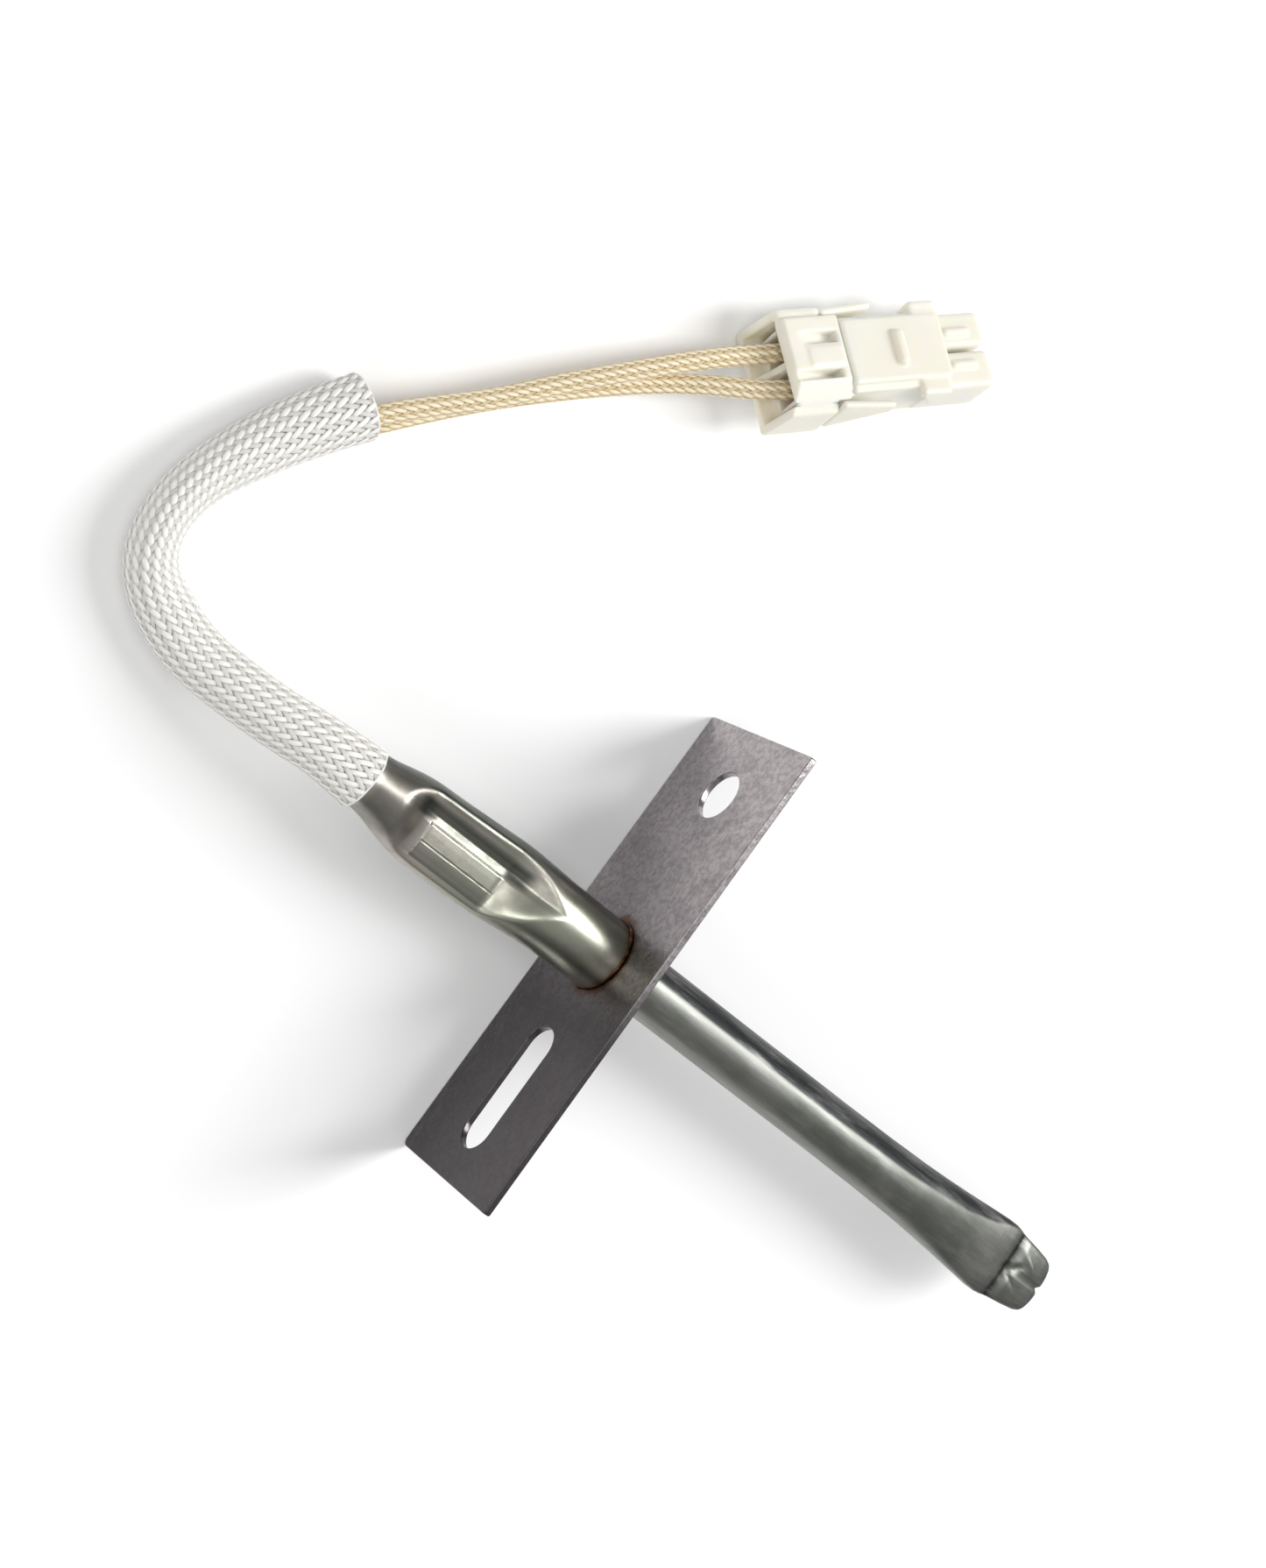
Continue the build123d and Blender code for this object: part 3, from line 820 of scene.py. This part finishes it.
def make_lock():
    """The saddle over the body: a stepped plate with a foot down each side and a grip bar on top."""
    solid = Field((6.0, -5.8, -0.8), (19.4, 5.8, 5.4), FINE_STEP)
    solid.add(solid.box((6.7, -3.3, 3.05), (18.2, 3.55, 3.95), 0.36))
    solid.add(solid.box((6.7, -4.0, 2.6), (18.2, 3.95, 3.35), 0.3), 0.3)
    solid.add(solid.box((15.0, 3.2, 2.2), (18.2, 4.95, 3.8), 0.5), 0.25)
    solid.add(solid.box((15.0, 4.15, 1.2), (18.2, 4.95, 3.8), 0.4), 0.3)
    solid.add(solid.box((14.3, -4.9, 2.5), (17.7, -2.9, 3.8), 0.4), 0.25)
    near_foot = solid.box((14.3, -4.95, 0.4), (17.6, -4.15, 3.75), 0.3)
    solid.add(np.maximum(near_foot, -past_slope(solid.u, 15.6, solid.w - 1.6, -0.7)), 0.3)
    solid.add(solid.box((12.0, -1.9, 3.5), (13.25, 1.9, 4.7), 0.55), 0.2)
    plug_piece("terminal_lock_saddle", solid, "terminal_lock", "terminal_lock")


def make_arm(name, side):
    """A blade that runs on from the hood's wall and tapers from below towards its tip."""
    wall, tip = side * HOOD_SIDE, side * ARM_REACH
    low, high = wall - ARM_HALF, wall + ARM_HALF
    solid = Field((4.8, min(low, tip) - 0.4, -3.2), (12.2, max(high, tip) + 0.4, 3.6), FINE_STEP)
    solid.add(solid.box((5.33, low, -2.5), (11.3, high, 2.95), 0.36, side * FLARE, (ARM_HINGE_U, wall)))
    solid.cut(past_slope(solid.w, -2.7, solid.u - 5.2, 0.72))
    plug_piece(f"{name}_blade", solid, name, name)


connector = make_housing()
make_lock()
make_arm("lock_arm_far", 1)
make_arm("lock_arm_near", -1)


# ---- Shaping ----
def smooth_min(a, b, width):
    """The lower of two heights, with the corner between them rounded."""
    h = np.clip(0.5 + 0.5 * (b - a) / width, 0.0, 1.0)
    return b * (1 - h) + a * h - width * h * (1 - h)


def band(value, low, high, low_soft, high_soft):
    """1 between two values, falling to 0 beyond them over soft widths."""
    rise = np.clip((value - low) / low_soft + 0.5, 0.0, 1.0)
    fall = np.clip((high - value) / high_soft + 0.5, 0.0, 1.0)
    return (rise * rise * (3 - 2 * rise)) * (fall * fall * (3 - 2 * fall))


def hump(value, centre, width):
    """A bell curve that is 1 at its centre."""
    return np.exp(-(((value - centre) / width) ** 2))


def places_along(*runs):
    """Places along X from runs that each have a start, an end and a count."""
    return np.unique(np.concatenate([np.linspace(*run) for run in runs]))


# ---- Ferrule ----
FERRULE_REAR, FERRULE_FRONT = -34.6, -0.8
FERRULE_WALL = 0.65
# place along X, side towards +Y, side towards -Y, half height
FERRULE_STATIONS = [
    (-34.6, 2.30, -3.45, 2.85), (-32.5, 2.36, -3.5, 2.95), (-31.5, 2.45, -3.62, 3.05),
    (-30.0, 2.80, -3.95, 3.2), (-28.5, 3.12, -4.35, 3.35), (-26.8, 3.36, -4.68, 3.45),
    (-24.8, 3.44, -4.85, 3.5), (-22.8, 3.52, -4.85, 3.5), (-18.8, 3.76, -4.80, 3.52),
    (-15.8, 3.96, -4.66, 3.62), (-13.8, 4.00, -4.48, 3.75), (-11.8, 3.94, -4.28, 3.86),
    (-8.8, 3.82, -4.05, 3.92), (-4.8, 3.76, -3.97, 3.93), (-0.8, 3.76, -3.97, 3.95),
]
# across the pocket: place along Y and height
POCKET_SECTION = [
    (-9.0, 6.4), (-5.2, 3.0), (-4.6, 2.35), (-4.1, 1.88), (-3.7, 1.66), (-3.2, 1.60), (-2.0, 1.58),
    (-1.0, 1.57), (-0.3, 1.55), (0.15, 1.36), (0.7, 1.26), (1.2, 1.42), (1.7, 1.76), (2.2, 2.25),
    (2.7, 2.85), (3.2, 3.6), (8.0, 9.5),
]
POCKET_REAR, POCKET_FRONT = -32.0, -4.0
LAND_REAR, LAND_FRONT = -25.5, -15.9
LAND_SEAM_Y, LAND_EDGE_Y = -2.06, -3.78


def pocket_height(x, y):
    """The hollow's surface: a trough with two raised lands along it, closed by a dish at each end."""
    section = columns_of(POCKET_SECTION, y, 1)[0]
    rear = np.clip((LAND_REAR + 0.6 - x) / 3.6, 0.0, 3.0)
    front = np.clip((x - LAND_FRONT + 0.4) / (4.9 - 0.7 * np.abs(y - 0.4)), 0.0, 3.0)
    length = band(x, LAND_REAR, LAND_FRONT - 0.2, 0.14, 0.8)
    upper_land = 0.16 * band(y, -2.02, -0.2, 0.12, 0.22)
    lower_land = 0.10 * band(y, -3.72, -2.12, 0.3, 0.12)
    between = 0.05 * hump(y, LAND_SEAM_Y, 0.08)
    return section + length * (upper_land + lower_land + between) + 2.3 * rear**2.0 + 2.9 * front**1.8


def ferrule_sides(rows_x):
    """The two sides and the half height at every row, with the stations' corners rounded off."""
    fine = np.linspace(FERRULE_REAR, FERRULE_FRONT, 340)
    sides = columns_of(FERRULE_STATIONS, fine, 1, 2, 3)
    return [np.interp(rows_x, fine, averaged(side, 31)) for side in sides]


def ferrule_painted_shade(x, y, to_side, upper):
    """Painted shade and painted reflection: dark along the +Y side, on the hollow's +Y wall and at its rims,
    and pale between them.
    """
    wall = band(y, 0.0, 1.75, 0.5, 0.5) * band(x, -28.0, -13.4, 1.6, 1.8)
    wall_ends = band(x, -28.2, -26.0, 0.8, 0.8) + band(x, -15.9, -13.4, 0.7, 1.0)
    wall_ends = wall_ends * band(y, -0.3, 1.7, 0.6, 0.5)
    along_lands = band(x, LAND_REAR, LAND_FRONT - 0.2, 0.2, 0.8)
    lower_land = band(y, -3.7, -2.12, 0.25, 0.12) * along_lands
    upper_land = band(y, -1.98, -0.25, 0.15, 0.2) * along_lands
    rear_rim = hump(x, LAND_REAR, 0.1) * band(y, -3.7, -0.25, 0.2, 0.2)
    side_rim = hump(y, LAND_EDGE_Y, 0.09) * band(x, LAND_REAR, LAND_FRONT - 0.4, 0.2, 0.6)
    rear_shade = band(x, -33.0, -28.4, 1.2, 1.6) * band(y, -3.9, 2.2, 0.8, 1.2)
    front_shade = band(y, -3.9, -1.8, 0.6, 0.9) * band(x, -12.0, -0.5, 3.0, 0.3)
    top_painted_shade = 1.0 - 0.9 * np.clip((to_side - 0.62) / 0.2, 0.0, 1.0)
    top_painted_shade = top_painted_shade * (1.0 - 0.72 * wall - 0.16 * wall_ends)
    top_painted_shade = top_painted_shade * (1.0 - 0.52 * lower_land - 0.2 * upper_land)
    top_painted_shade = top_painted_shade * (1.0 - 0.6 * np.clip(rear_rim + side_rim, 0.0, 1.0))
    top_painted_shade = top_painted_shade * (1.0 - 0.5 * rear_shade - 0.3 * front_shade)
    tone = np.clip(np.where(upper, top_painted_shade, np.where(to_side > 0, 0.15, 0.55)), 0.0, 1.0)
    for _ in range(2):
        tone = (np.roll(tone, 1, 1) + 2 * tone + np.roll(tone, -1, 1)) / 4
    return tone


def ring_bridge(first, second, columns):
    """Quads between two rings of points, whose first points have the numbers given."""
    c = np.arange(columns)
    next_c = (c + 1) % columns
    return np.stack([first + c, first + next_c, second + next_c, second + c], -1)


def make_ferrule():
    """An oval tube with a hollow pressed into its top. Its inner skin follows the outer."""
    rows_x = places_along(
        (FERRULE_REAR, -27.5, 36), (-27.5, -24.0, 40), (-24.0, -16.0, 40), (-16.0, -9.0, 64),
        (-9.0, FERRULE_FRONT, 26),
    )
    top = np.linspace(0.02 * math.pi, 0.98 * math.pi, 150)
    bottom = np.linspace(1.0 * math.pi, 2.0 * math.pi, 52)
    angles = np.concatenate([top, bottom])
    to_side, to_top = np.cos(angles)[None, :], np.sin(angles)[None, :]
    upper = to_top > 0
    plus_y, minus_y, half_z = (side[:, None] for side in ferrule_sides(rows_x))
    middle_y = (plus_y + minus_y) / 2
    half_y = (plus_y - minus_y) / 2
    x = np.repeat(rows_x[:, None], len(angles), axis=1)
    y = middle_y + half_y * to_side
    z = half_z * to_top
    hollow = pocket_height(x, y)
    soft = 2.0 + 2.2 * band(x, -14.0, -5.0, 4.0, 4.0) + 0.8 * band(x, -31.0, -26.0, 2.0, 2.0)
    pressed = upper & (x > POCKET_REAR) & (x < POCKET_FRONT)
    outer_z = np.where(pressed, smooth_min(z, hollow, soft), z)
    inner_y = middle_y + (half_y - FERRULE_WALL) * to_side
    inner_z = (half_z - FERRULE_WALL) * to_top
    inner_z = np.where(upper, smooth_min(inner_z, hollow - FERRULE_WALL, soft), inner_z)
    rows, columns = x.shape
    count = rows * columns
    skins = [np.stack(skin, -1).reshape(-1, 3) for skin in ((x, y, outer_z), (x, inner_y, inner_z))]
    faces = np.concatenate(
        [
            grid_faces(rows, columns)[:, ::-1],
            grid_faces(rows, columns, count),
            ring_bridge(0, count, columns),
            ring_bridge(count - columns, 2 * count - columns, columns)[:, ::-1],
        ]
    )
    # painted shade: the outer skin's tone follows the hollow and sides, and the inner skin is painted a flat
    # dark 0.3
    tone = np.concatenate([ferrule_painted_shade(x, y, to_side, upper).ravel(), np.full(count, 0.3)])
    piece = mesh_object("crimp_ferrule_shell", np.concatenate(skins), faces, [FERRULE], tone)
    stand_for(piece, "root", "crimp_ferrule")


make_ferrule()

# ---- Probe ----
# place along X, half width, half height, how far the outline is from an ellipse towards a box
PROBE_STATIONS = [
    (-9.0, 3.17, 3.17, 0.0), (4.0, 3.14, 3.14, 0.0), (20.0, 3.18, 3.16, 0.0), (35.0, 3.24, 3.15, 0.0),
    (42.0, 3.33, 3.08, 0.0), (48.0, 3.47, 2.88, 0.05), (52.0, 3.65, 2.6, 0.1), (56.0, 3.9, 2.15, 0.2),
    (60.0, 4.2, 1.6, 0.3), (62.5, 4.38, 1.25, 0.35), (64.0, 4.38, 1.0, 0.4), (64.9, 4.25, 0.78, 0.5),
    (65.4, 4.12, 0.55, 0.6), (65.9, 4.02, 0.66, 0.6), (66.8, 3.92, 0.82, 0.6), (68.5, 3.72, 0.8, 0.6),
    (70.2, 3.45, 0.74, 0.6), (71.0, 3.15, 0.68, 0.6), (71.4, 2.7, 0.6, 0.6), (71.6, 2.0, 0.45, 0.6),
]
# the fold from the round tube's middle to the flat end's +Y corner: places along X and Y
PROBE_FOLD = [(15.0, 1.15), (30.0, 1.1), (45.0, 1.35), (55.0, 2.15), (60.0, 3.1), (62.5, 3.9), (64.0, 4.2)]
PROBE_SIDES = 160
PINCH_X = 65.4


def towards_box(share, power):
    return np.sign(share) * np.abs(share)[None, :] ** power


def tip_relief(x, y, half_height):
    """What is added to the flattened end's top: a ridge, less a crease up its middle and two dents."""
    tail = np.clip((x - 64.5) / 0.8, 0.0, 1.0)
    crease = 0.20 * hump(y, 0.0, 0.28) * tail
    near_dent = 0.34 * hump(x, 66.9, 0.7) * hump(y, 0.55 + 0.35 * (x - 66.9), 0.42)
    far_dent = 0.22 * hump(x, 66.3, 1.3) * hump(y, -0.7 - 0.5 * (x - 66.3), 0.26)
    ridge = 0.24 * hump(x, 68.6, 1.5) * hump(y, 1.5 - 0.5 * (x - 68.6), 0.5) * tail
    return ridge - (crease + near_dent + far_dent) * np.clip(half_height, 0, 1)


def probe_painted_shade(x, y, topside):
    """Painted shade and painted reflection: pale on the near side of the fold and at the tip, dark beyond
    the fold and in the pinch.
    """
    fold_y = columns_of(PROBE_FOLD, x, 1)[0]
    tone = np.clip((fold_y + 0.12 - y) / 0.3, 0.0, 1.0)
    tone = np.where(topside, tone, np.where(y > 0, 0.1, 0.55))
    return np.clip(np.where(x > 64.6, 0.9, tone) - 0.85 * hump(x, PINCH_X, 0.55), 0.0, 1.0)


def make_probe():
    """A round tube that is flattened towards its tip, where it is pinched, creased and notched."""
    rows_x = places_along((-9.0, 40.0, 70), (40.0, 62.0, 90), (62.0, 71.6, 110))
    around = ring_angles(PROBE_SIDES)
    half_width, half_height, boxy = (
        averaged(column, 7)[:, None] for column in columns_of(PROBE_STATIONS, rows_x, 1, 2, 3)
    )
    power = 1.0 - 0.55 * boxy
    x = np.repeat(rows_x[:, None], PROBE_SIDES, axis=1)
    y = half_width * towards_box(np.cos(around), power)
    z = half_height * towards_box(np.sin(around), power)
    topside = np.sin(around)[None, :] > 0
    z = np.where(topside, z + tip_relief(x, y, half_height), z)
    notch = 0.5 * hump(y, 0.0, 0.3) * np.clip((x - 70.9) / 0.6, 0.0, 1.0)
    verts = np.stack([x - notch, y, z], -1).reshape(-1, 3)
    rows, columns = x.shape
    faces = grid_faces(rows, columns)[:, ::-1].tolist()
    faces.append(list(range(columns)))
    faces.append(list(range((rows - 1) * columns, rows * columns))[::-1])
    piece = mesh_object("probe_sheath_tube", verts, faces, [TUBE], probe_painted_shade(x, y, topside))
    stand_for(piece, "root", "probe_sheath")


make_probe()

# ---- Weld ----
WELD_ROWS, WELD_COLUMNS = 180, 14
WELD_RING_R, WELD_X = 3.84, -0.92
WELD_BEAD_R = 0.20
WELD_END = math.radians(183.0)
WELD_SEED = 4


def make_weld():
    """A thin rippled ring with a lump where the weld ended."""
    random = np.random.default_rng(WELD_SEED)
    around = ring_angles(WELD_ROWS)
    section = ring_angles(WELD_COLUMNS)
    ripple = 0.05 * np.sin(around * 23.0) + 0.005 * random.standard_normal(WELD_ROWS).cumsum()
    ripple = ripple - np.linspace(ripple[0], ripple[-1], WELD_ROWS)
    from_end = np.angle(np.exp(1j * (around - WELD_END)))
    thick = (WELD_BEAD_R + 0.4 * ripple + 0.22 * hump(from_end, 0.0, 0.06))[:, None]
    x = WELD_X + thick * np.sin(section)
    r = WELD_RING_R + thick * np.cos(section)
    verts = np.stack([x, r * np.cos(around)[:, None], r * np.sin(around)[:, None]], -1).reshape(-1, 3)
    faces = grid_faces(WELD_ROWS, WELD_COLUMNS, closed=True)
    piece = mesh_object("weld_bead_ring", verts, faces, [WELD])
    stand_for(piece, "root", "weld_bead")


make_weld()

# ---- Bracket ----
PLATE_HALF_LENGTH, PLATE_HALF_WIDTH, PLATE_THICK = 26.8, 9.8, 0.8
PLATE_EDGE = 0.13
PLATE_BORE_R = 3.2
SHARP_CORNER_R, ROUND_CORNER_R = 0.3, 0.8
SCREW_HOLE_Y, SCREW_HOLE_R = 19.5, 2.65
SLOT_Y, SLOT_HALF_RUN, SLOT_R = -16.0, 4.8, 2.3


def arc(cx, cy, r, first, last, count):
    turn = np.radians(np.linspace(first, last, count))
    return [(cx + r * math.cos(t), cy + r * math.sin(t)) for t in turn]


def rounded_corner(u, v, r, first):
    """A quarter turn inside the corner at u and v, from a first angle on."""
    return arc(u - math.copysign(r, u), v - math.copysign(r, v), r, first, first + 90, 9)


def plate_loops():
    """The bracket's outline and its three openings."""
    far, up = PLATE_HALF_LENGTH, PLATE_HALF_WIDTH
    outline = (
        rounded_corner(far, up, SHARP_CORNER_R, 0)
        + rounded_corner(-far, up, SHARP_CORNER_R, 90)
        + rounded_corner(-far, -up, ROUND_CORNER_R, 180)
        + rounded_corner(far, -up, SHARP_CORNER_R, 270)
    )
    screw_hole = arc(SCREW_HOLE_Y, 0.0, SCREW_HOLE_R, 0, -355, 72)
    bore = arc(0.0, 0.0, PLATE_BORE_R, 0, -355, 72)
    slot_far = arc(SLOT_Y + SLOT_HALF_RUN, 0.0, SLOT_R, 90, -90, 33)
    slot_near = arc(SLOT_Y - SLOT_HALF_RUN, 0.0, SLOT_R, 270, 90, 33)
    return [outline, screw_hole, bore, slot_far + slot_near]


def plate_curve():
    """The loops as one filled curve with rounded edges."""
    curve = bpy.data.curves.new("plate_outline", "CURVE")
    curve.dimensions = "2D"
    curve.fill_mode = "BOTH"
    curve.extrude = (PLATE_THICK / 2 - PLATE_EDGE) * MM
    curve.bevel_depth = PLATE_EDGE * MM
    curve.bevel_resolution = 3
    curve.offset = -PLATE_EDGE * MM
    for loop in plate_loops():
        spline = curve.splines.new("POLY")
        spline.points.add(len(loop) - 1)
        for point, (u, v) in zip(spline.points, loop):
            point.co = (u * MM, v * MM, 0.0, 1.0)
        spline.use_cyclic_u = True
    return curve


def merge_points(data):
    """Joins points that lie on each other and turns every face outward."""
    joined = bmesh.new()
    joined.from_mesh(data)
    bmesh.ops.remove_doubles(joined, verts=joined.verts, dist=1e-6)
    bmesh.ops.recalc_face_normals(joined, faces=joined.faces)
    joined.to_mesh(data)
    joined.free()
    data.polygons.foreach_set("use_smooth", np.ones(len(data.polygons), bool))


def make_bracket():
    """The flat plate, stood up so that its thickness runs from X = 0 back."""
    points, faces = curve_mesh(plate_curve())
    verts = np.stack([points[:, 2] - PLATE_THICK / 2, points[:, 0], points[:, 1]], 1)
    piece = mesh_object("mounting_bracket_plate", verts, faces, [PLATE])
    merge_points(piece.data)
    piece.modifiers.new("even_normals", "WEIGHTED_NORMAL").keep_sharp = True
    stand_for(piece, "root", "mounting_bracket")


make_bracket()

# ---- Pieces that keep their CAD shape ----
# material and bevel width in metres
KEPT = {
    "rtd_chip": (CERAMIC, 0.0001),
    "element_wires": (NICKEL, 0.0),
    "ceramic_insulator": (CERAMIC, 0.0001),
    "tip_filler": (FILLER, 0.0),
    "splice_crimps": (TIN, 0.00005),
    "splice_covers": (COVER, 0.00005),
    "lead_core_a": (NICKEL, 0.0),
    "lead_core_b": (NICKEL, 0.0),
    "terminal_a": (TIN, 0.00005),
    "terminal_b": (TIN, 0.00005),
}


def dress(node, material, width):
    """Gives a CAD piece its material and, if it has a bevel width, soft edges."""
    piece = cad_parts[node]
    piece.data.materials.clear()
    piece.data.materials.append(material)
    if width:
        bevel = piece.modifiers.new("soft_edges", "BEVEL")
        bevel.width = width
        bevel.segments = 3
        bevel.limit_method = "ANGLE"
        bevel.angle_limit = math.radians(40.0)
        bevel.harden_normals = True


for node, (material, width) in KEPT.items():
    dress(node, material, width)

# ---- Floor and light ----
FLOOR_REACH = 12.0
WORLD_STRENGTH = 0.44
HORIZON_SHARE = 0.30


def make_floor():
    data = bpy.data.meshes.new("floor")
    corners = [(x * FLOOR_REACH, y * FLOOR_REACH, 0) for x, y in ((-1, -1), (1, -1), (1, 1), (-1, 1))]
    data.from_pydata(corners, [], [(0, 1, 2, 3)])
    data.materials.append(white_floor())
    piece = linked("floor", data)
    piece.location.z = FLOOR_Z * MM


def make_world():
    """A pale studio, dimmer at the horizon than overhead."""
    world = bpy.data.worlds.new("studio")
    bpy.context.scene.world = world
    world.use_nodes = True
    nodes, links = world.node_tree.nodes, world.node_tree.links
    coords = nodes.new("ShaderNodeTexCoord")
    split = nodes.new("ShaderNodeSeparateXYZ")
    ramp = nodes.new("ShaderNodeMapRange")
    background = nodes["Background"]
    links.new(coords.outputs["Generated"], split.inputs[0])
    links.new(split.outputs["Z"], ramp.inputs["Value"])
    links.new(ramp.outputs["Result"], background.inputs["Color"])
    set_inputs(ramp, {"From Min": -0.05, "From Max": 0.75, "To Min": HORIZON_SHARE, "To Max": 1.0})
    set_inputs(background, {"Strength": WORLD_STRENGTH})


def softbox(name, direction, distance, width, height, power):
    """A rectangular light that faces the origin."""
    data = bpy.data.lights.new(name, "AREA")
    data.shape = "RECTANGLE"
    data.size, data.size_y = width, height
    data.energy = power
    light = linked(name, data)
    aim = Vector(direction).normalized()
    light.location = aim * distance
    light.rotation_euler = aim.to_track_quat("Z", "Y").to_euler()


make_floor()
make_world()
bpy.context.scene.view_settings.view_transform = "Standard"
softbox("key", (0.474, 0.485, 0.737), 0.75, 0.24, 0.5, 4.0)
softbox("fill", (-0.55, -0.75, 0.7), 0.9, 0.5, 0.5, 1.2)
softbox("top", (-0.3, 0.0, 0.95), 0.9, 0.4, 0.4, 1.5)
